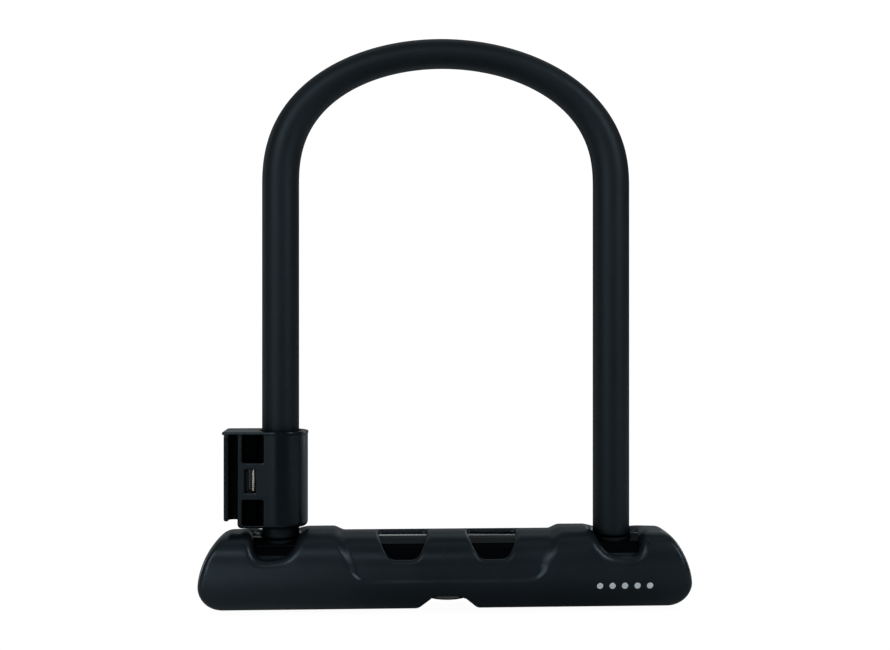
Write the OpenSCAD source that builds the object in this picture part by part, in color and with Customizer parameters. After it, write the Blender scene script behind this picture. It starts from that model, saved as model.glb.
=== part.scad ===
// U lock: coated steel shackle, double-bolting crossbar with a key cylinder,
// and a carrying bracket with a T rail clamped on the left shackle leg.
// Frame: origin at the centre of the crossbar's underside, +X along the
// crossbar, +Z towards the shackle crown, -Y is the front, with the windows.
// Units are millimetres. Rest state: shackle closed, bolts drawn back.

/* [Shackle] */
// Distance between the centres of the two shackle legs
leg_spacing = 166.4; // [160:0.2:172]
// Height of the spring line, where the straight legs end and the arch starts
spring_z = 211.5; // [180:0.1:250]
// Rise of the arch divided by its half width
arch_ratio = 0.798; // [0.78:0.002:1]
// Diameter of the steel rod
rod_d = 12; // [11.8:0.05:12.1]
// Outer diameter of the soft sleeve on the legs
sleeve_d = 18.4; // [17.6:0.1:18.4]
// Height of the lower end of the sleeve
sleeve_end_z = 35.8; // [35.6:0.1:38]
// Height of the lower end of the rod
foot_z = 10.2; // [10:0.1:12]

/* [Crossbar] */
// Length of the crossbar beyond the leg centres, on each side
bar_over = 40; // [38:0.1:46]
// Front to back depth of the cover
bar_depth = 38; // [38:0.5:42]
// Height of the cover beside the legs
bar_height = 41.1; // [40.6:0.1:42]
// Depth of the shallow panel round the windows
panel_depth = 1.7; // [1:0.1:1.8]
// Outer diameter of the steel housing tube
tube_d = 32.6; // [32.4:0.1:32.8]
// Wall of the steel housing tube
tube_wall = 3.25; // [3:0.05:3.25]

/* [Lock mechanism] */
// Travel of each bolt as the key turns a quarter turn
bolt_travel = 4.2; // [4:0.1:4.4]
// Diameter of the key cylinder's body
cyl_d = 20; // [19:0.25:20]
// Number of detainer discs
disc_count = 5; // [4:1:5]

/* [Bracket] */
// Outer diameter of the bracket's clamp
clamp_d = 27.2; // [27:0.1:28]
// Height of the bracket's underside
bracket_z = 41.6; // [41.5:0.1:46]
// Height of the bracket
bracket_h = 47.5; // [47:0.1:48]
// Width of the T rail's plate, front to back
rail_w = 26; // [22:0.5:27]

/* [Hidden] */
$fn = 64;
fit = 0.05;                    // gap round a part that fits closely
play = 0.1;                    // gap round a part that fits loosely
leg_x = leg_spacing/2;
half_len = leg_x + bar_over;
rod_r = rod_d/2;
sleeve_r = sleeve_d/2;
cyl_r = cyl_d/2;
tube_r = tube_d/2;
bore_r = tube_r - tube_wall;
insert_r = bore_r - fit;       // parts that fill the tube's bore
tube_z = 20.4;                 // height of the tube's axis
tube_half = leg_x + 21.4;

// ---------- helpers ----------
// Ranges are [from, to]. A side is -1 for left and 1 for right.
function span(half, middle = 0) = [middle - half, middle + half];

// A cylinder along X over the range x
module xcyl(r, x, z = tube_z)
    translate([x[0], 0, z]) rotate([0, 90, 0]) cylinder(r = r, h = x[1] - x[0]);
// A cylinder along Z over the range z, with its axis at [x, y]
module zcyl(r, z, at = [0, 0]) translate([at.x, at.y, z[0]]) cylinder(r = r, h = z[1] - z[0]);
// A block over the ranges x, y and z
module box(x, y, z)
    translate([x[0], y[0], z[0]]) cube([x[1] - x[0], y[1] - y[0], z[1] - z[0]]);
// Mirrors its children, drawn on the right, when the side is left
module on_side(side) {
    if (side < 0) mirror([1, 0, 0]) children();
    else children();
}
// A profile drawn in X and Z, extruded over the range y
module xz(y) translate([0, y[1], 0]) rotate([90, 0, 0]) linear_extrude(y[1] - y[0]) children();
// A profile drawn in Y and Z, extruded over the range x
module yz(x) translate([x[0], 0, 0]) rotate([90, 0, 90]) linear_extrude(x[1] - x[0]) children();
// A polygon from one half of its outline and that half's mirror image
module symmetric(half) polygon(concat(half,
    [for (i = [len(half)-1:-1:0]) [-half[i].x, half[i].y]]));

function signed_pow(value, power) = sign(value)*pow(abs(value), power);
// Superellipse point: half axes, exponent, angle
function superellipse(axes, power, angle) =
    [axes.x*signed_pow(cos(angle), 2/power), axes.y*signed_pow(sin(angle), 2/power)];
// A quarter of a superellipse, anticlockwise from the angle start
function quarter(centre, axes, power, start, steps = 8, first = 0) =
    [for (i = [first:steps]) centre + superellipse(axes, power, start + 90*i/steps)];

// A closed skin over a list of rings with equal numbers of points
function flat(lists) = [for (list = lists) for (item = list) item];
module skin(rings) {
    n = len(rings[0]);
    last = len(rings) - 1;
    polyhedron(points = flat(rings), faces = concat(
        [[for (i = [0:n-1]) i]],
        [for (k = [0:last-1]) for (i = [0:n-1]) let(j = (i + 1) % n)
            [k*n + i, (k+1)*n + i, (k+1)*n + j]],
        [for (k = [0:last-1]) for (i = [0:n-1]) let(j = (i + 1) % n)
            [k*n + i, (k+1)*n + j, k*n + j]],
        [[for (i = [n-1:-1:0]) last*n + i]]));
}

// ---------- bolts ----------
bolt_w = 12;
bolt_h = 6;
bolt_z = [24.4, 24.4 + bolt_h];
notch_x = leg_x - rod_r + bolt_travel;   // bottom of the notch in each foot
nose_x = leg_x - rod_r - 0.25; // end of each bolt when it is drawn back
drive_pin_x = 3.6;             // drive pins' distance from the axis, bolts back
drive_pin_r = 1.5;
drive_pin_top = bolt_z[0] + 4;

module bolt(side) color("gray") on_side(side) difference() {
    box([drive_pin_x - 2, nose_x], span(bolt_w/2), bolt_z);
    zcyl(drive_pin_r, [bolt_z[0] - 1, drive_pin_top + play], [drive_pin_x, 0]);
    // chamfered nose
    for (k = [-1, 1]) translate([nose_x, k*bolt_w/2, bolt_z[0] + bolt_h/2])
        rotate([0, 0, 45]) cube([2.4, 2.4, bolt_h + 2], center = true);
}
module drive_pin(side) color("silver")
    zcyl(drive_pin_r, [22, drive_pin_top], [side*drive_pin_x, 0]);

// ---------- shackle ----------
arch_steps = 32;
arch_sides = 24;
arch_power = 2.38;             // superellipse exponent of the centre line
arch_slim = 0.02;              // the arch is this much thinner than the legs

// Height of the arch at an angle along it, as a fraction of its rise, at a turn
// round the section. It is a little fuller at its shoulders than an ellipse,
// more so on its inside.
function rise(angle, turn) = pow(abs(sin(angle)), 2/(arch_power - 0.08*cos(turn)));
// Ring of the sleeve's outside
function outer_ring(angle, r) = [for (i = [0:arch_sides-1])
    let(turn = 360*i/arch_sides, reach = leg_x + r*cos(turn))
    [reach*cos(angle), r*sin(turn), spring_z + arch_ratio*reach*rise(angle, turn)]];
// Ring of round section, square to the arch's centre line
function round_ring(angle, r) =
    let(height = rise(angle, 90),
        across = [arch_ratio*cos(angle), arch_power/2*pow(height, arch_power - 1)],
        normal = across/norm(across))
    [for (i = [0:arch_sides-1]) let(turn = 360*i/arch_sides)
        [leg_x*cos(angle) + r*cos(turn)*normal.x,
         r*sin(turn),
         spring_z + arch_ratio*leg_x*height + r*cos(turn)*normal.y]];
module arch_outside(r) skin([for (k = [0:arch_steps]) outer_ring(180*k/arch_steps, r)]);
module arch_round(r) skin([for (k = [0:arch_steps]) round_ring(180*k/arch_steps, r)]);
// Both straight legs, each with a bevel at its lower end
module legs(r, end_z, bevel_r, bevel_h) for (side = [-1, 1]) {
    zcyl(r, [end_z + bevel_h, spring_z], [side*leg_x, 0]);
    translate([side*leg_x, 0, end_z]) cylinder(r1 = r - bevel_r, r2 = r, h = bevel_h);
}

module shackle_core() color("dimgray") difference() {
    union() {
        arch_round(rod_r - arch_slim);
        legs(rod_r, foot_z, bevel_r = 1.4, bevel_h = 1.6);
    }
    // notches for the two bolts
    for (side = [-1, 1]) on_side(side)
        box([leg_x - 10, notch_x], span(8), bolt_z + span(0.4));
}
module shackle_sleeve() color([0.10, 0.11, 0.12]) difference() {
    union() {
        arch_outside(sleeve_r - arch_slim);
        legs(sleeve_r, sleeve_end_z, bevel_r = 0.9, bevel_h = 1.2);
    }
    arch_round(rod_r + 0.12);
    for (side = [-1, 1]) zcyl(rod_r + fit, [sleeve_end_z - 1, spring_z], [side*leg_x, 0]);
}

// ---------- crossbar housing ----------
guide_x = 11.8;                // inner end of each bolt guide
socket_half = 10.2;            // half length of each foot socket
socket_x = leg_x - socket_half;
seal_r = 9.4;
seal_z = [32.1, 35.3];
plug_length = 8;

// Pin along Y that crosses the edge of the key cylinder, also used as its hole
module cross_pin(half) translate([cyl_r + 0.4, -half, 12])
    rotate([-90, 0, 0]) cylinder(r = 1.25, h = 2*half);
module bolt_slot(x) box(x, span(bolt_w/2 + fit), bolt_z + span(fit));

module housing_tube() color("black") difference() {
    xcyl(tube_r, span(tube_half));
    xcyl(bore_r, span(tube_half + 1));
    for (side = [-1, 1]) zcyl(seal_r + 0.2, [tube_z, tube_z + 20], [side*leg_x, 0]);
    zcyl(cyl_r + play, [0, tube_z]);
    cross_pin(20);
}
module end_plug(side) color("gray") on_side(side) difference() {
    xcyl(insert_r, [tube_half - plug_length, tube_half]);
    // round recess in the outer end
    xcyl(6, [tube_half - 3, tube_half + 1]);
}
module foot_seal(side) color([0.05, 0.05, 0.05]) difference() {
    zcyl(seal_r, seal_z, [side*leg_x, 0]);
    zcyl(rod_r + 0.06, [30, 40], [side*leg_x, 0]);
}
module foot_socket(side) color("silver") on_side(side) difference() {
    xcyl(insert_r, span(socket_half, leg_x));
    zcyl(rod_r + play, [foot_z - 0.2, 40], [leg_x, 0]);
    zcyl(seal_r + play, [seal_z[0] - play, 40], [leg_x, 0]);
    bolt_slot([socket_x - 1, leg_x]);
}
module bolt_guide(side) color("silver") on_side(side) difference() {
    xcyl(insert_r, [guide_x, socket_x - play]);
    bolt_slot([guide_x - 1, socket_x + 1]);
    // lightening pocket under the bolt
    box([guide_x + 5, socket_x - 6], span(7), [tube_z - 10, bolt_z[0] - 3]);
}

// ---------- crossbar cover ----------
through_y = span(30);          // cuts right through from front to back
top_depth = 2.2;               // depth of the shallow panel on the top
window_x = 22.1;
end_z = 13.5;                  // height at which the ends reach furthest out
lower_end_w = 11.5;            // widths of the two curves of each end
upper_end_w = 16;
plan_corner = [9, 11];         // half axes of the corners seen from above

// Outside section in Y and Z, with a fuller curve than an ellipse
module full_section(inset = 0, top_inset = 0) translate([0, tube_z])
    polygon([for (i = [0:55]) let(angle = 360*i/56,
        height = sin(angle) > 0 ? bar_height - tube_z - top_inset : 21.3 - inset)
        superellipse([bar_depth/2 - inset, height], 2.3, angle)]);
// The section with its underside cut flat
module cover_section() difference() {
    full_section();
    translate([-30, -10]) square([60, 10]);
}
// Front outline: each end has a slanting upper quarter and a tighter lower one.
module cover_outline() symmetric(concat(
    quarter([half_len - lower_end_w, end_z], [lower_end_w, end_z], 1.9, -90),
    quarter([half_len - upper_end_w, end_z], [upper_end_w, bar_height - 2.2 - end_z], 1.66, 0,
        steps = 10, first = 1),
    [[leg_x + 10, bar_height - 1.6], [leg_x - 12, bar_height + 0.4]]));
// Plan outline: the ends' upright corners are rounded.
module plan_outline() symmetric(concat(
    [[half_len - plan_corner.x, -20]],
    quarter([half_len - plan_corner.x, -8], plan_corner, 2.4, -90),
    quarter([half_len - plan_corner.x, 8], plan_corner, 2.4, 0),
    [[half_len - plan_corner.x, 20]]));
// Window outline in X and Z: wide at the top, rounded below.
module window_outline() symmetric(concat(
    [[-14, 46], [-13.8, 39.1]],
    quarter([-5.8, 36.7], [7.4, 10.2], 2, 180)));
// Mouth over the right foot, open to the top and to the front
module foot_mouth() {
    hull() {
        zcyl(10.6, [24, 60], [leg_x, 0]);
        zcyl(9.6, [24, 60], [leg_x + 2.8, -1]);
    }
    xz([-30, 0]) polygon(concat(
        [[leg_x - 10.6, 60], [leg_x - 10.4, 36]],
        quarter([leg_x - 2.6, 35], [7, 9], 2, 180),
        quarter([leg_x + 6.6, 35], [6, 9], 2, 270),
        [[leg_x + 13, 36], [leg_x + 13.2, 60]]));
}
// Arch in the underside across the keyhole: right half, [x, z] from the foot up
keyhole_arch_half = [[15.2, -1], [15.2, 0.2], [14.2, 1.3], [12.3, 3.5],
    [9.5, 6.1], [8.4, 7.1], [7.4, 7.8], [6.4, 8.2]];
// Shallow panel: left half, [x, z] from the top down
panel_half = [[-60, 50], [-58.6, 37], [-56, 30.5], [-52, 24],
    [-47.5, 18.6], [-45, 17], [-42, 16.4]];

module cover_half(side) color([0.09, 0.10, 0.11]) difference() {
    intersection() {
        yz(span(half_len + 1)) cover_section();
        xz(through_y) cover_outline();
        translate([0, 0, -5]) linear_extrude(60) plan_outline();
        // keep one side of the split
        on_side(side) box([0.05, 200], span(50), [-5, 60]);
    }
    // shallow panel on the front, top and back
    difference() {
        xz(through_y) symmetric(panel_half);
        yz(span(70)) full_section(panel_depth, top_depth);
    }
    // tube, and a narrower bore running on past its ends
    xcyl(tube_r + play, span(tube_half + 0.4));
    xcyl(11, span(tube_half + 7.5), z = 18.5);
    for (x = [-window_x, window_x]) xz([-30, 1.5]) translate([x, 0]) window_outline();
    on_side(side) foot_mouth();
    xz(through_y) symmetric(keyhole_arch_half);
    zcyl(cyl_r + play, [-1, 20]);
}

// ---------- key cylinder ----------
face_z = 6;                    // face of the key cylinder
cavity_z = face_z + 1.4;       // inside of the cylinder body's face
cyl_top = 20;
rotor_r = 7;
rotor_top = 19;
spigot_r = 5;                  // round neck on the rotor
square_half = 2.5;             // square end of the rotor, which turns the cam
retainer_r = 8.25;
disc_r = 5.5;
disc_z = 8.4;                  // underside of the lowest disc's place
disc_pitch = 1.85;
stack_top = disc_z + disc_count*disc_pitch;
sidebar_half_w = 1;

module keyway(z) box(span(3.4), span(1.1), z);
// Slot for the sidebar, from x out past the rotor's edge
module sidebar_slot(x, top = 30) box([x, 8], span(sidebar_half_w + fit), [0, top]);

module keyhole_bezel() color([0.12, 0.13, 0.14]) difference() {
    zcyl(cyl_r - play, [5.2, face_z]);
    zcyl(6.2, [0, 10]);
}
module cylinder_body() color("goldenrod") difference() {
    zcyl(cyl_r, [face_z, cyl_top]);
    zcyl(6, [0, 10]);
    zcyl(rotor_r + play, [cavity_z, 30]);
    zcyl(retainer_r + fit, [rotor_top + fit, 30]);
    // groove beside the sidebar
    box([6, 8.7], span(1.1), [cavity_z, 18]);
    cross_pin(20);
}
module cylinder_pin() color("silver") cross_pin(13);
module drill_guard() color("silver") difference() {
    zcyl(rotor_r, [cavity_z + fit, 8.3]);
    keyway([0, 10]);
}
module rotor() color("darkgoldenrod") {
    difference() {
        union() {
            zcyl(rotor_r, [8.35, rotor_top]);
            zcyl(spigot_r, [rotor_top - 0.1, 20.2]);
        }
        zcyl(disc_r + play, [0, stack_top]);
        sidebar_slot(4, stack_top);
    }
    box(span(square_half), span(square_half), [20.1, 21.15]);
}
module rotor_retainer() color("silver") difference() {
    zcyl(retainer_r, [rotor_top + 0.1, 19.9]);
    zcyl(spigot_r + fit, [10, 30]);
    box(span(2), [4, 9], [10, 30]);
}
module detainer_discs() color("khaki") for (i = [0:disc_count-1]) difference() {
    zcyl(disc_r, disc_z + i*disc_pitch + 0.05 == undef ? [0, 0] :
        [disc_z + i*disc_pitch + 0.05, disc_z + i*disc_pitch + 1.4]);
    keyway([0, 30]);
    sidebar_slot(4.3);
}
module spacer_washers() color("silver") for (i = [0:disc_count-1]) difference() {
    zcyl(disc_r, [disc_z + i*disc_pitch + 1.42, disc_z + i*disc_pitch + 1.8]);
    zcyl(3.7, [0, 30]);
    sidebar_slot(3);
}
module sidebar() color("silver")
    box([4.5, 6.85], span(sidebar_half_w), [disc_z + 0.1, stack_top - 0.2]);

// Cam with two spiral grooves: a quarter turn moves each pin by bolt_travel.
groove_from = -2;              // angles at which each groove's path starts and ends
groove_to = 94;
function spiral_r(angle) = drive_pin_x + bolt_travel*angle/90;
function spiral_tangent(angle) =
    let(r = spiral_r(angle), growth = bolt_travel/90*180/PI,
        along = [growth*cos(angle) - r*sin(angle), -growth*sin(angle) - r*cos(angle)])
    along/norm(along);
// Point of the groove: offset to one side of the path, then run along it
function spiral_point(angle, offset, run = 0) =
    let(r = spiral_r(angle), tangent = spiral_tangent(angle))
    [r*cos(angle) - offset*tangent.y + run*tangent.x,
     -r*sin(angle) + offset*tangent.x + run*tangent.y];
module spiral_groove() {
    half_w = drive_pin_r + 0.08;
    polygon(concat(
        [for (a = [groove_from:6:groove_to]) spiral_point(a, half_w)],
        [for (f = [22.5:22.5:157.5]) spiral_point(groove_to, half_w*cos(f), half_w*sin(f))],
        [for (a = [groove_to:-6:groove_from]) spiral_point(a, -half_w)],
        [for (f = [157.5:-22.5:22.5]) spiral_point(groove_from, half_w*cos(f), -half_w*sin(f))]));
}
module drive_cam() color("gray") difference() {
    zcyl(10.2, [20.4, 24]);
    for (turn = [0, 180]) rotate([0, 0, turn])
        translate([0, 0, 21.8]) linear_extrude(5) spiral_groove();
    box(span(square_half + fit), span(square_half + fit), [20, 21.25]);
}

// ---------- bracket, drawn about the left leg's axis ----------
bracket_top = bracket_z + bracket_h;
cap_z = bracket_top - 1.5;     // underside of the top plate
mid_z = bracket_z + 23.4;      // middle of the latch and of the clamp screw
tall_z = [bracket_z - 1, bracket_top + 1];   // cuts through the whole bracket
clamp_r = clamp_d/2;
cap_r = clamp_r + 0.25;
liner_r = 10.4;
block_x = -20.3;               // outer face of the block
rail_x = [-26.9, -24.6];       // T rail's plate
rail_z = [bracket_z + 3.4, cap_z];
screw_y = 15;
nut_half = 3.5;
latch_at = [-12.4, -8.5];      // latch pin's axis
latch_pin_r = 1;
ear_r = 2;
lever_z = span(6.55, mid_z);

module at_leg() translate([-leg_x, 0, 0]) children();
module screw_bore(r, length) translate([-9, screw_y, mid_z])
    rotate([0, 90, 0]) cylinder(r = r, h = length);

module bracket_liner() color([0.04, 0.04, 0.04]) at_leg() difference() {
    zcyl(liner_r, [bracket_z + 0.6, bracket_top - 0.6]);
    zcyl(sleeve_r + fit, tall_z);
    box(span(1.2), [5, 15], tall_z);
}
module bracket_body() color([0.11, 0.12, 0.13]) at_leg() difference() {
    union() {
        zcyl(clamp_r, [bracket_z, cap_z]);
        box([block_x, 0], span(clamp_r), [bracket_z, cap_z]);
        // T rail: web and plate
        box([rail_x[1], block_x + 1], span(5), rail_z);
        box(rail_x, span(rail_w/2), rail_z);
        // top plate
        zcyl(cap_r, [cap_z, bracket_top]);
        box([rail_x[0] - 1.2, 0], span(cap_r), [cap_z, bracket_top]);
        // clamp ears
        box(span(8), [6, 18.6], span(7, mid_z));
    }
    zcyl(liner_r + fit, tall_z);
    // clamp slit
    box(span(1.25), [9, 20], tall_z);
    // pockets above and below the latch
    for (z = [[bracket_z + 1.9, mid_z - 9.2], [mid_z + 9, cap_z - 0.1]]) difference() {
        box([-17.9, -7.5], [-clamp_r - 1, -2], z);
        clamp_wall();
    }
    // latch chamber, open at the back, and its small window at the front
    difference() {
        box([-17.7, -7.4], [-11.2, clamp_r + 1], lever_z + span(play));
        clamp_wall();
        box([-9, 0], [5, 20], [0, 100]);
    }
    box([-16.6, -11.3], [-clamp_r - 1, -11], span(5.7, mid_z));
    // slot for the latch tooth
    box([block_x - 1, -17], [6.6, clamp_r + 1], span(3.3, mid_z));
    // latch pin's hole
    zcyl(latch_pin_r, lever_z + span(1.8), latch_at);
    // clamp screw: bore, and the pocket for its nut
    screw_bore(2.1, 20);
    box([-9, -4.7], [11.4, 18.8], span(nut_half + play, mid_z));
}
// Round wall left standing where the pockets and chamber meet the clamp
module clamp_wall() zcyl(12, [0, 100]);
module clamp_screw() color("silver") at_leg()
    translate([0, screw_y, mid_z]) rotate([0, 90, 0]) difference() {
        union() {
            translate([0, 0, -7.5]) cylinder(r = 1.95, h = 15.6);
            translate([0, 0, 8.05]) cylinder(r = 3.5, h = 3.6);
        }
        // hexagon socket
        translate([0, 0, 9.4]) cylinder(r = 1.75, h = 5, $fn = 6);
    }
module clamp_nut() color("silver") at_leg() difference() {
    box([-7.9, -4.75], span(nut_half, screw_y), span(nut_half, mid_z));
    screw_bore(2, 10);
}
module latch_pin() color("silver") at_leg() zcyl(latch_pin_r, lever_z + span(1.7), latch_at);
module latch_lever() color([0.07, 0.07, 0.08]) at_leg() difference() {
    union() {
        box([-16.9, -15.1], [latch_at.y - ear_r, 14], lever_z);
        // two ears on the pin
        for (z = [[lever_z[0], lever_z[0] + 1.1], [lever_z[1] - 1.1, lever_z[1]]]) {
            box([-15.7, latch_at.x], span(ear_r, latch_at.y), z);
            zcyl(ear_r, z, latch_at);
        }
        // tooth that drops into the rail's rear groove
        latch_tooth();
        // release tab
        box([-18.1, -14.3], [13.9, 17.2], lever_z + [1, -1]);
    }
    zcyl(latch_pin_r + fit, [0, 100], latch_at);
}
module latch_tooth() translate([0, 0, mid_z - 3]) linear_extrude(6)
    polygon([[-15.7, 7], [-21.2, 7], [-23, 8.8], [-23, 10], [-15.7, 11]]);

// Torsion spring: a helix about the latch pin with two short straight ends
coil_r = 1.75;
coil_pitch = 0.92;
coil_turns = 10.5;
wire_r = 0.4;
wire_sides = 8;
function coil_ring(angle, shift_y = 0) =
    let(outward = [cos(angle + 180), sin(angle + 180), 0],
        z = mid_z + coil_pitch*(angle/360 - coil_turns/2))
    [for (i = [0:wire_sides-1]) let(turn = 360*i/wire_sides)
        [latch_at.x, latch_at.y + shift_y, z + wire_r*sin(turn)]
            + (coil_r + wire_r*cos(turn))*outward];
module latch_spring() color("lightgray") at_leg() skin(concat(
    [coil_ring(0, shift_y = 2.5)],
    [for (a = [0:30:360*coil_turns]) coil_ring(a)],
    [coil_ring(360*coil_turns, shift_y = 1.2)]));

housing_tube();
end_plug(-1);  // end_plug_left
end_plug(1);  // end_plug_right
cover_half(-1);  // cover_left
cover_half(1);  // cover_right
keyhole_bezel();
cylinder_body();
rotor_retainer();
cylinder_pin();
bolt_guide(-1);  // bolt_guide_left
bolt_guide(1);  // bolt_guide_right
foot_socket(-1);  // foot_socket_left
foot_socket(1);  // foot_socket_right
foot_seal(-1);  // foot_seal_left
foot_seal(1);  // foot_seal_right
rotor();
drill_guard();
detainer_discs();
spacer_washers();
sidebar();
drive_cam();
bolt(-1);  // bolt_left
drive_pin(-1);  // drive_pin_left
bolt(1);  // bolt_right
drive_pin(1);  // drive_pin_right
shackle_core();
shackle_sleeve();
bracket_liner();
bracket_body();
clamp_screw();
clamp_nut();
latch_pin();
latch_lever();
latch_spring();
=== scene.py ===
"""A bicycle U-lock standing upright: crossbar below, shackle arch above, bracket on the left leg.

X runs along the crossbar with 0 at its middle, -Y is the front, +Z is up.
Shapes are in millimetres; materials, lights and the camera are in metres.
"""
import math

import bmesh
import bpy
import numpy as np
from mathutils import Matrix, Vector


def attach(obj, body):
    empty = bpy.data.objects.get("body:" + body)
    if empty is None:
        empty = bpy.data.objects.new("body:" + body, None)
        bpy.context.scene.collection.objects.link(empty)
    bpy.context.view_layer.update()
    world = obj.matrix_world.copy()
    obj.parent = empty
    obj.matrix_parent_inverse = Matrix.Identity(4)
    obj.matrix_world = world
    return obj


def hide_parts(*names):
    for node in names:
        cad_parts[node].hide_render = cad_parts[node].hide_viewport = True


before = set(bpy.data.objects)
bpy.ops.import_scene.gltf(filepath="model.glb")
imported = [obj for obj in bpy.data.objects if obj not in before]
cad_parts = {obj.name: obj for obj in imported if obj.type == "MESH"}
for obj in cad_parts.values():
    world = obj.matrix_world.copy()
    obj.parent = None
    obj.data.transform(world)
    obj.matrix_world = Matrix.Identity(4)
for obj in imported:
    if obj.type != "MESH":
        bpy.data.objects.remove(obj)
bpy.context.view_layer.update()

# ------------------------------------------------------------------ sizes, mm
MM = 0.001                # metres in a millimetre
LEG_X = 83.2              # leg axis, either side
LEG_TOP = 211.5           # where the legs end and the arch starts
ARCH_RATIO = 0.798        # arch rise / half width
SLEEVE_RADIUS = 9.2
BAR_HALF = 123.2          # crossbar half length
TUBE_Z = 20.4             # housing tube axis height
TUBE_HALF = 104.6         # housing tube half length
BRACKET_BOTTOM, BRACKET_TOP = 41.6, 89.1
BRACKET_MID = 65.0        # height of the latch and the clamp ears
LATCH_X, LATCH_Y = -12.4, -8.5   # latch pin, from the leg axis
FLOOR_Z = -0.3
NORMAL_STEP = 0.12        # sampling step for surface normals


# ------------------------------------------------------------ distance fields
def smooth_max(a, b, k):
    """Intersection blended over a width k."""
    h = np.maximum(k - np.abs(a - b), 0) / k
    return np.maximum(a, b) + h * h * k * 0.25


def smooth_min(a, b, k):
    """Union blended over a width k."""
    return -smooth_max(-a, -b, k)


def cut(body, tool, k):
    return smooth_max(body, -tool, k)


def ease(t):
    t = np.clip(t, 0, 1)
    return t * t * (3 - 2 * t)


def radial(u, v, a, b, power):
    """Distance along the radius to a superellipse with half axes a, b."""
    r = np.sqrt(u * u + v * v)
    rho = (np.abs(u / a) ** power + np.abs(v / b) ** power) ** (1.0 / power)
    rho = np.maximum(rho, 1e-4)
    return np.where(r < 1e-3, -np.minimum(a, b), r - r / rho)


def beyond(u, span, r):
    """How far u lies outside a span shrunk by r."""
    return np.abs(u - (span[0] + span[1]) / 2) - (span[1] - span[0]) / 2 + r


def box(x, y, z, xs, ys, zs, r=0.0):
    """Block over three spans, its edges rounded by r."""
    qx, qy, qz = beyond(x, xs, r), beyond(y, ys, r), beyond(z, zs, r)
    out = np.sqrt(np.maximum(qx, 0) ** 2 + np.maximum(qy, 0) ** 2 + np.maximum(qz, 0) ** 2)
    return out + np.minimum(np.maximum(qx, np.maximum(qy, qz)), 0) - r


def rectangle(u, v, us, vs, r):
    qu, qv = beyond(u, us, r), beyond(v, vs, r)
    out = np.sqrt(np.maximum(qu, 0) ** 2 + np.maximum(qv, 0) ** 2)
    return out + np.minimum(np.maximum(qu, qv), 0) - r


def convex(u, v, outline, k):
    """Smoothed distance to a convex outline whose points run anticlockwise."""
    d = None
    for (u0, v0), (u1, v1) in zip(outline, outline[1:]):
        nu, nv = (v1 - v0), -(u1 - u0)
        edge = ((u - u0) * nu + (v - v0) * nv) / math.hypot(nu, nv)
        d = edge if d is None else smooth_max(d, edge, k)
    return d


def gradient(field, points, step):
    slope = np.empty_like(points)
    for i in range(3):
        offset = np.zeros(3)
        offset[i] = step
        a, b = points + offset, points - offset
        difference = field(a[:, 0], a[:, 1], a[:, 2]) - field(b[:, 0], b[:, 1], b[:, 2])
        slope[:, i] = difference / (2 * step)
    return slope


def normals_of(field, points):
    slope = gradient(field, points, NORMAL_STEP)
    return slope / np.maximum(np.linalg.norm(slope, axis=1), 1e-9)[:, None]


def surface_nets(field, low, high, cell):
    """Vertices and quads of field = 0 inside the box low..high."""
    count = [int(math.ceil((high[i] - low[i]) / cell)) + 1 for i in range(3)]
    axes = [low[i] + cell * np.arange(count[i], dtype=np.float32) for i in range(3)]
    values = np.empty(count, np.float32)
    slab = 24                 # layers sampled at once, to bound the memory used
    for i in range(0, count[0], slab):
        values[i:i + slab] = field(*np.meshgrid(axes[0][i:i + slab], *axes[1:], indexing="ij"))
    inside = values < 0

    # one vertex per crossed cell, at the mean of its edge crossings
    shape = tuple(k - 1 for k in count)
    hits = np.zeros(shape, np.float32)
    total = [np.zeros(shape, np.float32) for _ in range(3)]
    near = [slice(0, k - 1) for k in count]
    far = [slice(1, k) for k in count]
    for a in range(3):
        b, c = [i for i in range(3) if i != a]
        for on_b in (0, 1):
            for on_c in (0, 1):
                start, end = [None] * 3, [None] * 3
                start[a], end[a] = near[a], far[a]
                start[b] = end[b] = far[b] if on_b else near[b]
                start[c] = end[c] = far[c] if on_c else near[c]
                start, end = tuple(start), tuple(end)
                cross = inside[start] != inside[end]
                v0, v1 = values[start][cross], values[end][cross]
                total[a][cross] += v0 / (v0 - v1)
                total[b][cross] += on_b
                total[c][cross] += on_c
                hits[cross] += 1
    active = hits > 0
    ids = np.full(shape, -1, np.int64)
    ids[active] = np.arange(int(active.sum()))
    corner = np.argwhere(active).astype(np.float64)
    offset = np.stack([total[i][active] / hits[active] for i in range(3)], 1)
    verts = (corner + offset) * cell + np.array(low)

    # one quad round every crossed grid edge
    quads = []
    for a in range(3):
        b, c = [(1, 2), (2, 0), (0, 1)][a]
        start = [slice(1, k - 1) for k in count]
        end = list(start)
        start[a], end[a] = near[a], far[a]
        lower, upper = inside[tuple(start)], inside[tuple(end)]
        cross = lower != upper
        base = np.argwhere(cross)
        base[:, [b, c]] += 1
        ring = []
        for back_b, back_c in ((1, 1), (0, 1), (0, 0), (1, 0)):
            at = base.copy()
            at[:, b] -= back_b
            at[:, c] -= back_c
            ring.append(ids[at[:, 0], at[:, 1], at[:, 2]])
        ring = np.stack(ring, 1)
        quads.append(np.where(lower[cross][:, None], ring, ring[:, ::-1]))
    quads = np.concatenate(quads)
    quads = quads[(quads >= 0).all(1)]

    # draw the vertices onto the surface, at most half a cell at a time
    for _ in range(3):
        slope = gradient(field, verts, 0.06)
        value = field(verts[:, 0], verts[:, 1], verts[:, 2])
        move = -(value / np.maximum((slope * slope).sum(1), 0.2))[:, None] * slope
        length = np.linalg.norm(move, axis=1)
        move *= np.minimum(1, 0.5 * cell / np.maximum(length, 1e-9))[:, None]
        verts = verts + move
    return verts, quads


# -------------------------------------------------------------- mesh helpers
def shade_smooth(mesh):
    mesh.polygons.foreach_set("use_smooth", [True] * len(mesh.polygons))


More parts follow.
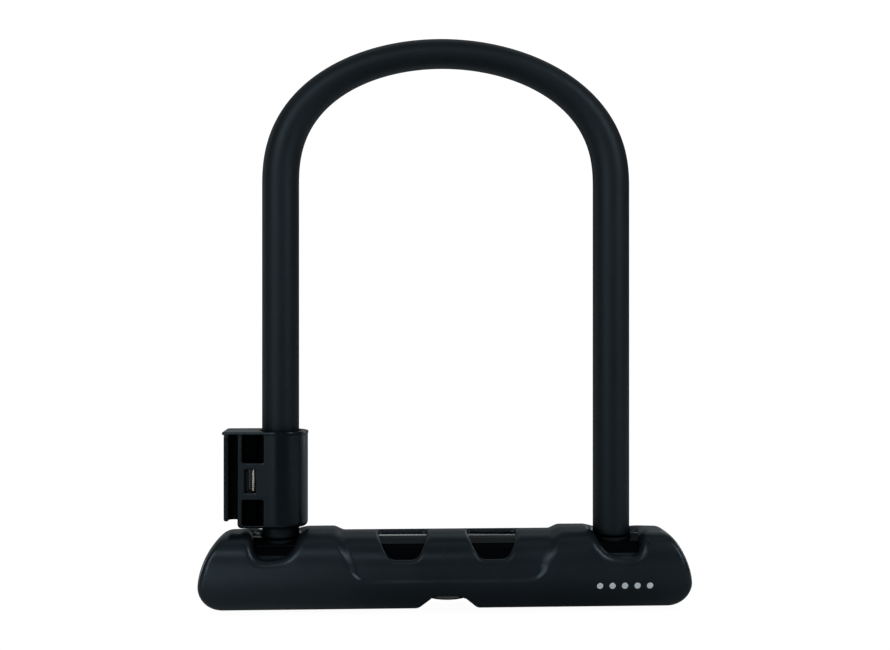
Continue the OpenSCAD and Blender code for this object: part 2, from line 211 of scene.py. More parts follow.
def make(name, verts, faces):
    """A smooth object from vertices in mm."""
    mesh = bpy.data.meshes.new(name)
    points = (np.asarray(verts, float) * MM).tolist()
    mesh.from_pydata(points, [], [list(map(int, f)) for f in faces])
    mesh.validate()
    mesh.update()
    shade_smooth(mesh)
    obj = bpy.data.objects.new(name, mesh)
    bpy.context.scene.collection.objects.link(obj)
    return obj


def ring_faces(rows, cols, closed):
    """Quads between successive rings of cols points; closed joins the last ring to the first."""
    faces = []
    for i in range(rows if closed else rows - 1):
        this, following = i * cols, ((i + 1) % rows) * cols
        for j in range(cols):
            k = (j + 1) % cols
            faces.append((this + j, this + k, following + k, following + j))
    return faces


def lathe(name, profile, segments=96):
    """Closed profile of (radius, z) turned about the Z axis."""
    verts = []
    for r, z in profile:
        for j in range(segments):
            a = 2 * math.pi * j / segments
            verts.append((r * math.cos(a), r * math.sin(a), z))
    return make(name, verts, ring_faces(len(profile), segments, True))


# ------------------------------------------------------------------ crossbar
# outlines as (x, z); those open at the top run past the cover
PANEL = [     # dished area of the front and back, from the middle outwards
    (0, 15.4), (41.0, 15.4), (44.5, 16.2), (47.3, 18.2), (49.6, 21.4),
    (52.9, 26.4), (55.9, 33.4), (58.1, 39.9), (60.2, 50.0)]
WINDOW = [    # half a window, x from its centre line
    (0, 26.6), (6.4, 26.6), (7.9, 27.6), (9.2, 29.3), (10.9, 32.4),
    (12.3, 35.6), (13.3, 39.0), (13.8, 46.0)]
MOUTH = [     # opening round the shackle foot, x from the leg axis
    (-10.9, 50.0), (-10.2, 38.0), (-8.8, 34.2), (-6.2, 30.2), (-3.2, 27.8), (0.2, 27.1),
    (8.6, 27.1), (11.2, 28.7), (12.7, 31.6), (13.1, 35.0), (13.3, 50.0)]
NOTCH = [     # arched underside at the middle
    (0, 8.2), (6.4, 8.2), (7.4, 7.8), (8.4, 7.1), (9.5, 6.1), (12.3, 3.5),
    (14.2, 1.3), (15.4, -0.1), (17.5, -2.5), (30, -20)]
WINDOW_X = 22.3
END_Z = 13.5                    # widest height of the rounded end
END_UP, END_DOWN = 16.0, 12.3   # length of its rounding above and below that
JOINT_X = 0.02                  # the halves stop this far off the middle
RIGHT_SHORTER = 1.3             # the right end is moulded a little shorter


def cover_field(side_x, y, z):
    x = np.abs(side_x)
    # barrel, dished inside the panel outline and flatter under the tube axis
    dish = ease(-convex(x, z, PANEL, 2.5) / (2.0 + 3.4 * ease((z - 19.5) / 6.0)))
    dish_depth = 0.66 + 0.36 * ease((x - 6.0) / 43.0) + 0.5 * ease((z - 23.0) / 12.0)
    half_height = np.where(z > TUBE_Z, 20.7 - 2.2 * dish, 21.3)
    d = radial(y, z - TUBE_Z, 19.0 - dish_depth * dish, half_height, 2.35)
    # slanting rounded end
    end_x = x + 1.7 * (np.abs(y) / 19.0) ** 3
    top = np.interp(x, [0, LEG_X - 14, LEG_X - 12, LEG_X + 10, BAR_HALF - END_UP],
                    [42.3, 41.9, 41.5, 39.5, 38.9])
    above = radial(np.maximum(end_x - (BAR_HALF - END_UP), 0) + 1e-4,
                   np.maximum(z - END_Z, 0), END_UP, top - END_Z, 1.68)
    below = radial(np.maximum(end_x - (BAR_HALF - END_DOWN), 0) + 1e-4,
                   np.maximum(END_Z - z, 0), END_DOWN, END_Z, 1.74)
    d = smooth_max(d, np.where(z >= END_Z, above, below), 2.8)
    # flat underside
    d = smooth_max(d, -z, 1.6)
    # windows, open to the front and over the top
    window = smooth_max(convex(np.abs(x - WINDOW_X), z, WINDOW, 2.0), y - 1.8, 2.0)
    d = cut(d, window, 2.1)
    # mouth round the foot: a well from above and an opening to the front
    well = radial(x - (LEG_X + 1.2), y + 0.3, 11.6, 10.8, 2.2)
    well = np.maximum(well, 25.5 - z)
    opening = np.maximum(convex(x - LEG_X, z, MOUTH, 2.4), y)
    d = cut(d, smooth_min(well, opening, 2.0), 4.6)
    # arch over the keyhole, and the round keyhole itself
    arch_z = np.interp(x, [p[0] for p in NOTCH], [p[1] for p in NOTCH])
    d = smooth_max(d, (arch_z - z) * 0.8, 1.5)
    d = cut(d, np.maximum(np.hypot(x, y) - 10.15, z - 20), 0.4)
    # bore for the housing tube, and a narrower hollow reaching past its end
    d = np.maximum(d, -np.maximum(np.hypot(y, z - TUBE_Z) - 16.4, x - (TUBE_HALF + 0.4)))
    return np.maximum(d, -np.maximum(np.hypot(y, z - 18.5) - 11.0, x - (TUBE_HALF + 7.5)))


def half_cover(cell):
    """The +X half, cut square at the joint and capped there."""
    verts, quads = surface_nets(cover_field, (-2.2, -20.2, -1.2), (BAR_HALF + 1.2, 20.2, 42.6), cell)
    mesh = bpy.data.meshes.new("half")
    mesh.from_pydata(verts.tolist(), [], quads.tolist())
    bm = bmesh.new()
    bm.from_mesh(mesh)
    bmesh.ops.bisect_plane(bm, geom=bm.verts[:] + bm.edges[:] + bm.faces[:],
                           plane_co=(JOINT_X, 0, 0), plane_no=(1, 0, 0), clear_inner=True)
    edges = [e for e in bm.edges if e.is_boundary]
    bmesh.ops.triangle_fill(bm, edges=edges, use_beauty=True)
    bmesh.ops.recalc_face_normals(bm, faces=bm.faces[:])
    bm.to_mesh(mesh)
    bm.free()
    verts = np.array([v.co[:] for v in mesh.vertices])
    faces = [tuple(f.vertices) for f in mesh.polygons]
    bpy.data.meshes.remove(mesh)
    return verts, faces


def build_covers(cell):
    verts, faces = half_cover(cell)
    is_cap = [all(verts[i, 0] < JOINT_X + 0.01 for i in f) for f in faces]
    # normals are read just clear of the middle, where the field is mirrored
    normals = normals_of(cover_field, np.maximum(verts, [0.15, -99, -99]))
    covers = []
    for name, side, shorter in (("cover_left_shell", -1, 0.0),
                                ("cover_right_shell", 1, RIGHT_SHORTER)):
        side_faces = [f[::-1] for f in faces] if side < 0 else faces
        moved = verts.copy()
        moved[:, 0] -= shorter * ease((verts[:, 0] - LEG_X - 15) / 22.0)
        obj = make(name, moved * [side, 1, 1], side_faces)
        loops = []
        for face, cap in zip(side_faces, is_cap):
            if cap:
                loops += [(-side, 0.0, 0.0)] * len(face)
            else:
                loops += [(side * normals[i, 0], normals[i, 1], normals[i, 2]) for i in face]
        obj.data.normals_split_custom_set(loops)
        covers.append(obj)
    return covers


def build_bezel():
    """Flat ring round the keyhole, as (radius, z)."""
    return lathe("bezel_ring", [
        (6.2, 6.0), (6.2, 5.65), (6.5, 5.4), (6.9, 5.3), (9.3, 5.3),
        (9.65, 5.36), (9.85, 5.5), (9.9, 5.75), (9.9, 6.0)])


# ------------------------------------------------------------------- bracket
SLANT = math.radians(5.0)       # the front face turns this far towards -X
BODY_RADIUS, LIP_RADIUS = 13.6, 13.85   # body and top plate, round the leg


def bracket_field(world_x, y, z):
    x = world_x + LEG_X
    mid = BRACKET_MID
    leg = np.hypot(x, y)
    # body: a ring round the leg, its slanting front face running off towards -X
    slant = -x * math.sin(SLANT) - y * math.cos(SLANT)
    side = rectangle(x, y, (-20.3, 0), (-14.4, BODY_RADIUS), 0.9)
    plan = smooth_min(leg - BODY_RADIUS, smooth_max(side, slant - BODY_RADIUS, 0.9), 0.6)
    d = smooth_max(plan, BRACKET_BOTTOM - z, 2.6)
    d = smooth_max(d, z - (BRACKET_TOP - 1.5), 0.5)
    # web and rail plate on the -X side
    web = box(x, y, z, (-25.2, -19), (-5, 5), (45.3, BRACKET_TOP - 1.4), 0.5)
    plate = smooth_max(rectangle(x, y, (-26.9, -24.6), (-13, 13), 0.9),
                       np.maximum(45.0 - z, z - (BRACKET_TOP - 1.4)), 1.0)
    plate = smooth_max(plate, rectangle(y, z, (-13, 13), (45.0, 99), 2.4), 1.0)
    d = smooth_min(d, smooth_min(web, plate, 0.9), 0.9)
    # top plate, a little larger than the body
    lip = rectangle(x, y, (-27.9, 0), (-14.6, LIP_RADIUS), 1.6)
    lip = smooth_min(leg - LIP_RADIUS, smooth_max(lip, slant - LIP_RADIUS, 0.9), 0.5)
    lip = smooth_max(lip, np.abs(z - (BRACKET_TOP - 0.75)) - 0.75, 0.6)
    d = smooth_min(d, lip, 0.5)
    # clamp ears at the back, the leg bore and the slit between the ears
    d = smooth_min(d, box(x, y, z, (-8, 8), (6, 18.6), (mid - 7, mid + 7), 2.0), 1.6)
    d = smooth_max(d, 10.45 - leg, 0.6)
    d = cut(d, box(x, y, z, (-1.25, 1.25), (9, 22), (30, 99)), 0.6)
    # front pockets below and above the latch, stopping at a wall round the leg
    wall = leg - 12
    for heights in ((BRACKET_BOTTOM + 1.6, mid - 9.2), (mid + 9, BRACKET_TOP - 1.7)):
        pocket = box(x, y, z, (-17.9, -7.5), (-16, -2), heights, 0.8)
        d = cut(d, cut(pocket, wall, 1.0), 0.7)
    # latch chamber, its front opening and a slot through the -X side
    chamber = box(x, y, z, (-17.7, -7.4), (-11.2, 15), (mid - 6.65, mid + 6.65), 0.6)
    chamber = cut(cut(chamber, wall, 0.8), box(x, y, z, (-9, 0), (5, 20), (0, 120)), 0.6)
    d = cut(d, chamber, 0.6)
    d = cut(d, box(x, y, z, (-16.6, -11.3), (-16, -10.5), (mid - 5.7, mid + 5.7), 0.6), 0.6)
    d = cut(d, box(x, y, z, (-23, -17), (6.6, 15), (mid - 3.3, mid + 3.3)), 0.5)
    # latch pin hole, clamp screw hole on the -X side and a recess in that ear
    pin = np.maximum(np.hypot(x - LATCH_X, y - LATCH_Y) - 1.0, np.abs(z - mid) - 8.35)
    d = np.maximum(d, -pin)
    d = cut(d, np.maximum(np.hypot(y - 15, z - mid) - 2.1, -9 - x), 0.4)
    return cut(d, box(x, y, z, (-9, -4.7), (11.4, 20), (mid - 3.6, mid + 3.6)), 0.4)


def build_bracket(cell):
    verts, quads = surface_nets(bracket_field, (-LEG_X - 28.9, -14.9, BRACKET_BOTTOM - 1),
                                (-LEG_X + 14.9, 19.6, BRACKET_TOP + 1), cell)
    nx, ny, nz = normals_of(bracket_field, verts).T
    # the broad front face is shaded as if very slightly crowned towards -X
    facing = nx * -math.sin(SLANT) + ny * -math.cos(SLANT)
    weight = ease((facing - 0.96) / 0.03) * ease((-1.0 - (verts[:, 0] + LEG_X)) / 2.0)
    weight = weight * ease((-10.5 - verts[:, 1]) / 0.5)
    turn = -math.radians(5.0) * weight
    normals = np.c_[nx * np.cos(turn) - ny * np.sin(turn),
                    nx * np.sin(turn) + ny * np.cos(turn), nz]
    obj = make("bracket_shell", verts, quads)
    obj.data.normals_split_custom_set_from_vertices(normals.tolist())
    return obj


def build_spring():
    """Latch spring: a coil with straight tails running off along Y."""
    sides, coil_radius, wire_radius = 14, 1.45, 0.4
    bottom, pitch, sweep = BRACKET_MID - 4.83, 0.92, 360 * 10.5

    def ring(degrees, shift=0.0, radius=wire_radius):
        t = math.radians(degrees + 180)
        outward = np.array([math.cos(t), math.sin(t), 0])
        centre = np.array([-LEG_X + LATCH_X + coil_radius * math.cos(t),
                           LATCH_Y + coil_radius * math.sin(t) + shift,
                           bottom + pitch * degrees / 360])
        p = np.linspace(0, 2 * np.pi, sides, endpoint=False)[:, None]
        return centre + radius * (np.cos(p) * outward + np.sin(p) * np.array([0, 0, 1]))

    rings = [ring(0, 2.5, 0.02), ring(0, 2.5, 0.34), ring(0, 2.44), ring(0, 1.2)]
    rings += [ring(a) for a in np.arange(0, sweep + 1, 9)]
    rings += [ring(sweep, 0.7), ring(sweep, 1.14), ring(sweep, 1.2, 0.34), ring(sweep, 1.2, 0.02)]
    verts = np.concatenate(rings)
    faces = ring_faces(len(rings), sides, False)
    faces += [tuple(range(sides))[::-1], tuple(range(len(verts) - sides, len(verts)))]
    return make("spring_coil", verts, faces)


# ------------------------------------------------------------------- shackle
def lean(points):
    """The crown of the arch sits slightly to the left."""
    s = np.clip((points[:, 2] - LEG_TOP) / 74.0, 0, 1.2)
    points[:, 0] -= 1.5 * s * s
    return points


def rise(t, around):
    """The arch is a little fuller at its shoulders than an ellipse, more so on its inside."""
    return abs(math.sin(t)) ** (2 / (2.38 - 0.08 * np.cos(around)))


def build_sleeve():
    sides, outer_steps, inner_steps = 80, 200, 60
    bottom, radius = 35.8, SLEEVE_RADIUS
    bore, arch_bore = 6.07, 6.12
    around = np.linspace(0, 2 * np.pi, sides, endpoint=False)
    cos, sin = np.cos(around), np.sin(around)

    def leg_rings(side, stations):
        """Rings at (z, radius) stations along one leg."""
        return [np.c_[side * (LEG_X + r * cos), r * sin, np.full(sides, z)] for z, r in stations]

    # outside: up the left leg from its rounded end, over the arch, down the right
    up = [(bottom, radius - 1.3), (bottom + 0.1, radius - 0.9), (bottom + 0.35, radius - 0.5),
          (bottom + 0.75, radius - 0.18), (bottom + 1.3, radius)]
    up += [(z, radius) for z in np.linspace(bottom + 4, LEG_TOP, 60)]
    rings = leg_rings(-1, up)
    for k in range(1, outer_steps):
        t = np.pi - np.pi * k / outer_steps
        reach = LEG_X + radius * cos
        rings.append(np.c_[reach * math.cos(t), radius * sin,
                           LEG_TOP + ARCH_RATIO * reach * rise(t, around)])
    rings += leg_rings(1, up[::-1])
    # inside: up the right leg, back over the arch, down the left
    inner = [(bottom, bore + 0.3), (bottom + 0.4, bore), (bottom + 30, bore),
             (bottom + 90, bore), (LEG_TOP, bore)]
    rings += leg_rings(1, inner)
    for k in range(1, inner_steps):
        t = np.pi * k / inner_steps
        s = float(rise(t, math.pi / 2))
        nx, nz = ARCH_RATIO * math.cos(t), 1.19 * s ** 1.38
        length = math.hypot(nx, nz)
        rings.append(np.c_[LEG_X * math.cos(t) + arch_bore * cos * nx / length, arch_bore * sin,
                           LEG_TOP + ARCH_RATIO * LEG_X * s + arch_bore * cos * nz / length])
    rings += leg_rings(-1, inner[::-1])
    return make("sleeve_cover", lean(np.concatenate(rings)), ring_faces(len(rings), sides, True))


# -------------------------------------------------------------- shader nodes
def feed(tree, socket, value):
    """Link a socket, or set its value."""
    if isinstance(value, bpy.types.NodeSocket):
        tree.links.new(value, socket)
    else:
        socket.default_value = value


def node(tree, kind, **inputs):
    """A shader node with inputs given by name, underscores for spaces."""
    new = tree.nodes.new("ShaderNode" + kind)
    for name, value in inputs.items():
        feed(tree, new.inputs[name.replace("_", " ")], value)
    return new


def new_material(name):
    material = bpy.data.materials.new(name)
    material.use_nodes = True
    tree = material.node_tree
    tree.nodes.clear()
    output = node(tree, "OutputMaterial")
    shader = node(tree, "BsdfPrincipled")
    tree.links.new(shader.outputs[0], output.inputs[0])
    return material, tree, shader, output


def coords(tree):
    return node(tree, "TexCoord").outputs["Object"]


def noise(tree, vector, scale, detail=4.0, rough=0.55, stretch=None):
    if stretch:
        vector = node(tree, "Mapping", Vector=vector, Scale=stretch).outputs[0]
    return node(tree, "TexNoise", Scale=scale, Detail=detail, Roughness=rough,
                Vector=vector).outputs["Fac"]


def ramp(tree, value, source, target):
    """Map the source range onto the target range."""
    return node(tree, "MapRange", From_Min=source[0], From_Max=source[1],
                To_Min=target[0], To_Max=target[1], Value=value).outputs[0]


def mix(tree, factor, a, b):
    mixer = node(tree, "Mix")
    mixer.data_type = "RGBA"
    # sockets 6 and 7 are the two colours
    for index, colour in ((6, a), (7, b)):
        feed(tree, mixer.inputs[index], (*colour, 1.0) if isinstance(colour, tuple) else colour)
    feed(tree, mixer.inputs[0], factor)
    return mixer.outputs[2]


def mix_shader(tree, factor, a, b):
    mixer = node(tree, "MixShader")
    for socket, value in zip(mixer.inputs, (factor, a.outputs[0], b.outputs[0])):
        tree.links.new(value, socket)
    return mixer.outputs[0]


def calculate(tree, operation, *values):
    maths = node(tree, "Math")
    maths.operation = operation
    for socket, value in zip(maths.inputs, values):
        feed(tree, socket, value)
    return maths.outputs[0]


def vector_math(tree, operation, *values):
    maths = node(tree, "VectorMath")
    maths.operation = operation
    for socket, value in zip(maths.inputs, values):
        feed(tree, socket, value)
    return maths


def crevice(tree, reach, source=(0.25, 0.85), target=(0.06, 1.0), samples=4, local=False):
    """Shade gathers where a surface is closed in on: high in the open, low deep inside."""
    occlusion = node(tree, "AmbientOcclusion", Distance=reach)
    occlusion.samples = samples
    occlusion.only_local = local
    return ramp(tree, occlusion.outputs["AO"], source, target)


def bump(tree, shader, height, strength, distance):
    bumped = node(tree, "Bump", Strength=strength, Distance=distance, Height=height)
    tree.links.new(bumped.outputs[0], shader.inputs["Normal"])


def dots(tree, vector, x, z, pitch, radius):
    """Mask of five printed dots in a row along X on the front."""
    place = node(tree, "SeparateXYZ", Vector=vector)

    def op(kind, a, b=0.0):
        return calculate(tree, kind, a, b, 0.0)

    u = op("SUBTRACT", place.outputs[0], x)
    nearest = op("MAXIMUM", op("MINIMUM", op("ROUND", op("DIVIDE", u, pitch)), 2.0), -2.0)
    du = op("SUBTRACT", u, op("MULTIPLY", nearest, pitch))
    dz = op("SUBTRACT", place.outputs[2], z)
    distance = op("SQRT", op("ADD", op("MULTIPLY", du, du), op("MULTIPLY", dz, dz)))
    in_front = op("LESS_THAN", place.outputs[1], -0.010)
    return op("MULTIPLY", op("LESS_THAN", distance, radius), in_front)


# ----------------------------------------------------------------- materials
BLACK = (0.0, 0.0, 0.0)
DUST = (0.20, 0.20, 0.19)
PRINT = (0.74, 0.77, 0.80)


def plastic(name, colour, roughness, grain, specular, grain_scale=2600.0, wear=0.0, dust=0.0,
            reach=0.012, mark=None, local=False):
    """Moulded plastic or rubber: fine grain, cloudy sheen, faint rubbed streaks and dust."""
    material, tree, shader, _ = new_material(name)
    vector = coords(tree)
    cloud = noise(tree, vector, 38.0, detail=5.0)
    fine = noise(tree, vector, grain_scale, detail=2.0)
    tint = mix(tree, ramp(tree, cloud, (0.35, 0.7), (0.0, 1.0)),
               tuple(x * 0.9 for x in colour), tuple(x * 1.12 for x in colour))
    if dust:
        specks = noise(tree, vector, 900.0, detail=1.0)
        tint = mix(tree, ramp(tree, specks, (0.72, 0.80), (0.0, dust)), tint, DUST)
    shade = crevice(tree, reach, local=local)
    tint = mix(tree, shade, BLACK, tint)
    if mark:
        tint = mix(tree, dots(tree, vector, **mark), tint, PRINT)
    rough = ramp(tree, cloud, (0.3, 0.75), (roughness - 0.035, roughness + 0.045))
    if wear:
        streaks = noise(tree, vector, 60.0, detail=6.0, rough=0.65, stretch=(1.0, 1.0, 9.0))
        rough = calculate(tree, "ADD", rough, ramp(tree, streaks, (0.6, 0.75), (0.0, wear)))
    feed(tree, shader.inputs["Base Color"], tint)
    feed(tree, shader.inputs["Roughness"], rough)
    feed(tree, shader.inputs["Specular IOR Level"], calculate(tree, "MULTIPLY", shade, specular))
    shader.inputs["Specular Tint"].default_value = (0.70, 0.88, 1.0, 1.0)
    bump(tree, shader, fine, grain, 0.00004)
    return material


def metal(name, colour, roughness, brush, strength=0.12, tarnish=None, reach=0.0):
    """Turned, ground or plated metal: micro lines squeezed by brush, and a cloudy tint."""
    material, tree, shader, _ = new_material(name)
    vector = coords(tree)
    lines = noise(tree, vector, 700.0, detail=5.0, rough=0.7, stretch=brush)
    cloud = noise(tree, vector, 90.0)
    dark = tarnish or tuple(x * 0.72 for x in colour)
    tint = mix(tree, ramp(tree, cloud, (0.35, 0.7), (0.0, 1.0)), dark, colour)
    if reach:
        tint = mix(tree, crevice(tree, reach), BLACK, tint)
    feed(tree, shader.inputs["Base Color"], tint)
    shader.inputs["Metallic"].default_value = 1.0
    rough = ramp(tree, lines, (0.3, 0.7), (roughness - 0.06, roughness + 0.10))
    feed(tree, shader.inputs["Roughness"], rough)
    bump(tree, shader, lines, strength, 0.00003)
    return material


def coated(name, colour, roughness):
    """Gloss coated steel tube: near mirror with a faint orange peel."""
    material, tree, shader, output = new_material(name)
    vector = coords(tree)
    peel = noise(tree, vector, 420.0, detail=3.0)
    cloud = noise(tree, vector, 50.0)
    shade = crevice(tree, 0.010, source=(0.2, 0.9), target=(0.10, 1.0))
    tint = mix(tree, ramp(tree, cloud, (0.3, 0.7), (0.0, 1.0)),
               colour, tuple(x * 1.3 for x in colour))
    feed(tree, shader.inputs["Base Color"], tint)
    rough = ramp(tree, cloud, (0.3, 0.7), (roughness, roughness + 0.06))
    feed(tree, shader.inputs["Roughness"], rough)
    feed(tree, shader.inputs["Specular IOR Level"], calculate(tree, "MULTIPLY", shade, 0.27))
    shader.inputs["Specular Tint"].default_value = (0.62, 0.83, 1.0, 1.0)
    bump(tree, shader, peel, 0.10, 0.00005)
    # painted shade: a near-black diffuse layer replaces more of the gloss where the surface turns
    # down and towards the ends
    normal = node(tree, "SeparateXYZ", Vector=node(tree, "NewGeometry").outputs["Normal"])
    painted_shade_layer = node(tree, "BsdfDiffuse", Color=(0.0022, 0.0027, 0.0034, 1.0))
    place = node(tree, "SeparateXYZ", Vector=vector)
    from_middle = calculate(tree, "ABSOLUTE", place.outputs[0])
    along = ramp(tree, from_middle, (0.045, 0.062), (1.0, 0.48))
    upward = ramp(tree, normal.outputs[2], (0.70, 0.99), (0.30, 0.68))
    gloss = calculate(tree, "MULTIPLY", along, upward)
    tree.links.new(mix_shader(tree, gloss, painted_shade_layer, shader), output.inputs[0])
    return material


MATERIALS = {
    "cover": plastic("satin_black_moulding", (0.0080, 0.0102, 0.0128), roughness=0.31,
                     grain=0.22, specular=0.46, grain_scale=2400.0, local=True,
                     mark=dict(x=0.0869, z=0.0132, pitch=0.0062, radius=0.00155)),
    "bracket": plastic("bracket_black_moulding", (0.0046, 0.0060, 0.0078), roughness=0.23,
                       grain=0.12, specular=0.46, grain_scale=2200.0, reach=0.014),
    "sleeve": plastic("black_vinyl_sleeve", (0.0090, 0.0113, 0.0138), roughness=0.50, grain=0.16,
                      specular=0.42, grain_scale=1500.0, wear=0.05, dust=0.05, reach=0.022),
    "rubber": plastic("matt_black_rubber", (0.0065, 0.0070, 0.0078), roughness=0.72, grain=0.5,
                      specular=0.22, grain_scale=1800.0, dust=0.1, reach=0.016),
    "latch": plastic("latch_black_plastic", (0.0085, 0.0090, 0.0100), roughness=0.36,
                     grain=0.2, specular=0.45),
    "bezel": plastic("bezel_black_plastic", (0.010, 0.010, 0.011), roughness=0.30,
                     grain=0.15, specular=0.5),
    "tube": coated("black_coated_tube", (0.002, 0.0023, 0.0026), roughness=0.11),
    "hard": metal("hardened_steel", (0.33, 0.33, 0.34), roughness=0.34, brush=(1.0, 1.0, 8.0)),
    "foot": metal("blackened_rod_steel", (0.045, 0.048, 0.054), roughness=0.38,
                  brush=(6.0, 6.0, 1.0), reach=0.012),
    "zinc": metal("zinc_plate", (0.62, 0.63, 0.66), roughness=0.36,
                  brush=(3.0, 3.0, 3.0), strength=0.16),
    "blackzinc": metal("black_zinc_plate", (0.085, 0.092, 0.10), roughness=0.42,
                       brush=(3.0, 3.0, 3.0), strength=0.14, reach=0.012),
    "nickel": metal("nickel_plated_brass", (0.60, 0.60, 0.58), roughness=0.26,
                    brush=(2.0, 2.0, 14.0), strength=0.10, tarnish=(0.48, 0.47, 0.43)),
    "brass": metal("machined_brass", (0.78, 0.57, 0.26), roughness=0.28,
                   brush=(2.0, 2.0, 14.0), tarnish=(0.52, 0.36, 0.15)),
    "bright": metal("bright_steel", (0.80, 0.79, 0.76), roughness=0.18,
                    brush=(3.0, 3.0, 12.0), strength=0.08),
    "coil": metal("spring_wire", (0.86, 0.82, 0.74), roughness=0.20,
                  brush=(6.0, 6.0, 6.0), strength=0.06),
}


def give(obj, material):
    obj.data.materials.clear()
    obj.data.materials.append(MATERIALS[material])


# ---------------------------------------------------------- build the pieces
def install(obj, material, piece, group):
    """Put a built object in place of a frame piece."""
    give(obj, material)
    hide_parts(piece)
    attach(obj, group)
    return obj


left, right = build_covers(0.5)
install(left, "cover", "cover_left", "crossbar")
install(right, "cover", "cover_right", "crossbar")
bracket = install(build_bracket(0.36),
                  "bracket", "bracket_body", "bracket")
sleeve = install(build_sleeve(), "sleeve", "shackle_sleeve", "shackle")
spring = install(build_spring(), "coil", "latch_spring", "bracket")
install(build_bezel(), "bezel", "keyhole_bezel", "crossbar")

# frame pieces kept as they are, and their materials
KEPT = {
    "housing_tube": "tube", "end_plug_left": "hard", "end_plug_right": "hard",
    "cylinder_body": "nickel", "rotor_retainer": "bright", "cylinder_pin": "bright",
    "bolt_guide_left": "zinc", "bolt_guide_right": "zinc",
    "foot_socket_left": "blackzinc", "foot_socket_right": "blackzinc",
    "foot_seal_left": "rubber", "foot_seal_right": "rubber",
    "rotor": "brass", "drill_guard": "bright", "detainer_discs": "brass",
    "spacer_washers": "bright", "sidebar": "bright", "drive_cam": "hard",
    "bolt_left": "hard", "drive_pin_left": "bright",
    "bolt_right": "hard", "drive_pin_right": "bright",
    "shackle_core": "foot", "bracket_liner": "rubber", "clamp_screw": "bright",
    "clamp_nut": "zinc", "latch_pin": "bright", "latch_lever": "latch",
}
for piece, material in KEPT.items():
    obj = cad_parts[piece]
    give(obj, material)
    weld = obj.modifiers.new("weld", "WELD")
    weld.merge_threshold = 0.000002
    bevel = obj.modifiers.new("edge", "BEVEL")
    bevel.width = 0.0002
    bevel.segments = 2
    bevel.limit_method = "ANGLE"
    bevel.angle_limit = math.radians(32)
    bevel.use_clamp_overlap = True
    bevel.harden_normals = True
    shade_smooth(obj.data)


# ------------------------------------------------------------ floor and world
def floor_material():
    """Pale table to the light, plain white to the camera but for a faint contact shade."""
    material, tree, shader, output = new_material("pale_floor")
    shader.inputs["Roughness"].default_value = 0.8
    shader.inputs["Specular IOR Level"].default_value = 0.2
    # darkest straight in front of the object and paler to its sides and back
    offset = vector_math(tree, "SUBTRACT", coords(tree), (0.035, 0.12, FLOOR_Z * MM))
    heading = vector_math(tree, "NORMALIZE", offset.outputs[0])
    split = node(tree, "SeparateXYZ", Vector=heading.outputs[0])
    tint = mix(tree, ramp(tree, split.outputs[1], (-0.95, -0.77), (0.0, 1.0)),
               (0.26, 0.265, 0.27), (0.80, 0.81, 0.82))
    feed(tree, shader.inputs["Base Color"], tint)
    camera_ray = node(tree, "LightPath").outputs["Is Camera Ray"]
    contact = crevice(tree, 0.02, source=(0.1, 0.9), target=(0.97, 1.03), samples=8)
    glow = node(tree, "Emission", Strength=contact)
    tree.links.new(mix_shader(tree, camera_ray, shader, glow), output.inputs[0])
    return material


def build_floor(size=24000.0, cells=8):
    verts, faces = [], []
    for i in range(cells + 1):
        for j in range(cells + 1):
            verts.append(((i / cells - 0.5) * size, (j / cells - 0.5) * size, FLOOR_Z))
    for i in range(cells):
        for j in range(cells):
            a = i * (cells + 1) + j
            faces.append((a, a + cells + 1, a + cells + 2, a + 1))
    floor = make("floor", verts, faces)
    floor.data.materials.append(floor_material())


def build_world(room=0.060, card=0.17):
    """White to the camera; otherwise a dim room with a large pale card above and behind."""
    world = bpy.data.worlds.new("studio")
    bpy.context.scene.world = world
    world.use_nodes = True
    tree = world.node_tree
    tree.nodes.clear()
    output = node(tree, "OutputWorld")
    seen = node(tree, "Background", Color=(1, 1, 1, 1), Strength=1.05)
    facing = vector_math(tree, "DOT_PRODUCT", node(tree, "TexCoord").outputs["Generated"],
                         (0.0, 0.72, 0.69))
    strength = ramp(tree, facing.outputs["Value"], (0.35, 0.98), (room, room + card))
    lighting = node(tree, "Background", Color=(0.88, 0.96, 1.0, 1), Strength=strength)
    camera_ray = node(tree, "LightPath").outputs["Is Camera Ray"]
    tree.links.new(mix_shader(tree, camera_ray, lighting, seen), output.inputs[0])


build_floor()
build_world()

# -------------------------------------------------------------------- lights
COOL = (0.90, 0.97, 1.0)
AIM = Vector((0, 0, 0.12))
# name, azimuth from the front towards +X and elevation in degrees,
# distance, width and height in metres, power in watts
LIGHTS = [
    ("soft_left", -37, 22, 1.5, 0.40, 1.1, 4.7),
    ("soft_right", 46, 28, 1.5, 0.32, 1.0, 4.9),
    ("soft_front", -14, 31, 1.6, 0.75, 0.20, 0.95),
    ("glow_left", -13, 5, 1.8, 0.34, 0.66, 0.44),
    # low cards: the pale table shows in the crossbar, brightest towards its ends
    ("bar_left", -24, -8, 1.7, 0.30, 0.46, 3.6),
    ("bar_right", 30, -8, 1.7, 0.20, 0.40, 1.3),
    ("bracket_left", -28, -4, 1.7, 0.20, 0.50, 0.34),
    ("end_left", -128, -6, 1.5, 0.22, 0.50, 1.1),
    ("bar_top", -4, 72, 1.6, 1.2, 0.55, 0.50),
    ("tube_line", 180, 18, 1.5, 0.9, 0.12, 0.72),
    ("soft_back", 180, 58, 1.6, 1.4, 0.6, 0.8),
    ("soft_rear_left", -122, 12, 1.5, 0.32, 1.0, 0.85),
    ("soft_rear_right", 152, 24, 1.6, 0.40, 0.8, 0.6),
    ("rim_right", 122, 8, 1.5, 0.28, 1.0, 3.1),
]


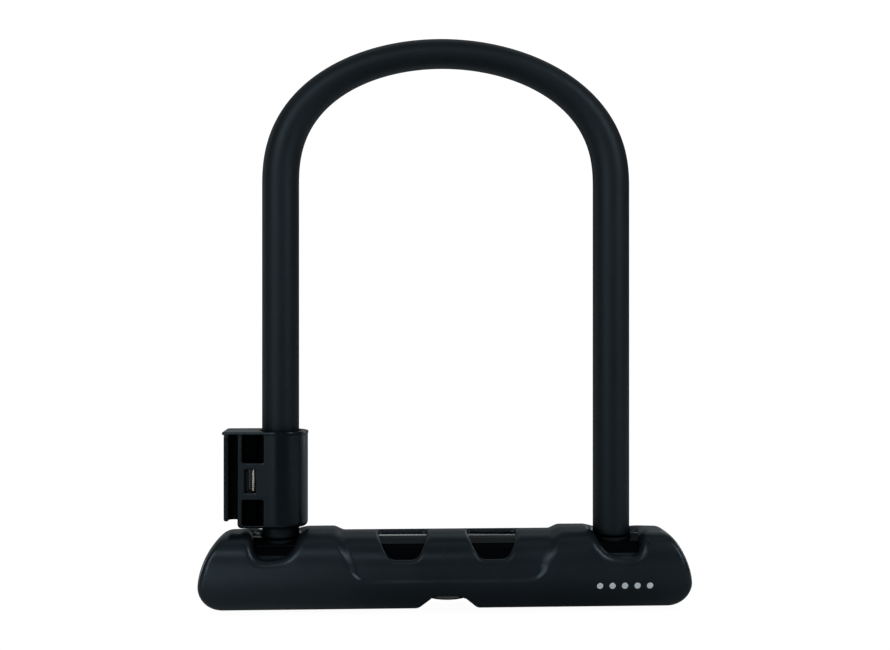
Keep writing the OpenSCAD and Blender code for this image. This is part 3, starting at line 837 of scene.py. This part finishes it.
def soft_light(name, azimuth, elevation, distance, width, height, power):
    data = bpy.data.lights.new(name, "AREA")
    data.shape = "RECTANGLE"
    data.size, data.size_y, data.energy = width, height, power
    data.color = COOL
    light = bpy.data.objects.new(name, data)
    a, e = math.radians(azimuth), math.radians(elevation)
    back = Vector((math.sin(a) * math.cos(e), -math.cos(a) * math.cos(e), math.sin(e)))
    light.location = AIM + back * distance
    light.rotation_mode = "QUATERNION"
    light.rotation_quaternion = back.to_track_quat("Z", "Y")
    bpy.context.scene.collection.objects.link(light)
    return light


def restrict(light, pieces, state="INCLUDE", blockers=False):
    """Let a light reach these pieces only, or all but these; blockers limits shadows too."""
    group = bpy.data.collections.new(light.name + "_link")
    for piece in pieces:
        group.objects.link(piece)
    light.light_linking.receiver_collection = group
    if blockers:
        light.light_linking.blocker_collection = group
    for member in group.collection_objects:
        member.light_linking.link_state = state


lights = {row[0]: soft_light(*row) for row in LIGHTS}
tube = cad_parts["housing_tube"]
covers = [left, right]
# the tube sits deep behind the windows: the frontal cards do not show in its gloss
restrict(lights["soft_front"], [tube], "EXCLUDE")
restrict(lights["glow_left"], [tube, bracket, left, right], "EXCLUDE")
restrict(lights["rim_right"], [sleeve], "EXCLUDE")
restrict(lights["bar_top"], covers)
for name, pieces in (("bar_left", covers), ("bar_right", covers),
                     ("bracket_left", [bracket, spring]),
                     ("end_left", covers), ("tube_line", [tube])):
    restrict(lights[name], pieces, blockers=True)

# -------------------------------------------------------------------- camera
YAW = math.radians(3.0)                      # turned from +Y towards +X
DISTANCE, SHIFT, HEIGHT = 650.0, -0.95, 141.6   # mm back, sideways and up
FOCAL_LENGTH, SENSOR_WIDTH = 52.2606742, 36.0   # mm


def build_camera():
    data = bpy.data.cameras.new("camera")
    camera = bpy.data.objects.new("camera", data)
    scene = bpy.context.scene
    scene.collection.objects.link(camera)
    scene.camera = camera
    ahead = Vector((math.sin(YAW), math.cos(YAW), 0.0))
    across = Vector((ahead.y, -ahead.x, 0.0))
    camera.location = (ahead * -DISTANCE + across * SHIFT + Vector((0, 0, HEIGHT))) * MM
    camera.rotation_mode = "QUATERNION"
    camera.rotation_quaternion = ahead.to_track_quat("-Z", "Y")
    data.sensor_width = SENSOR_WIDTH
    data.lens = FOCAL_LENGTH
    data.clip_start, data.clip_end = 0.01, 50.0
    scene.view_settings.view_transform = "Standard"
    scene.view_settings.look = "None"
    scene.view_settings.exposure = 0.0
    scene.view_settings.gamma = 1.0


build_camera()
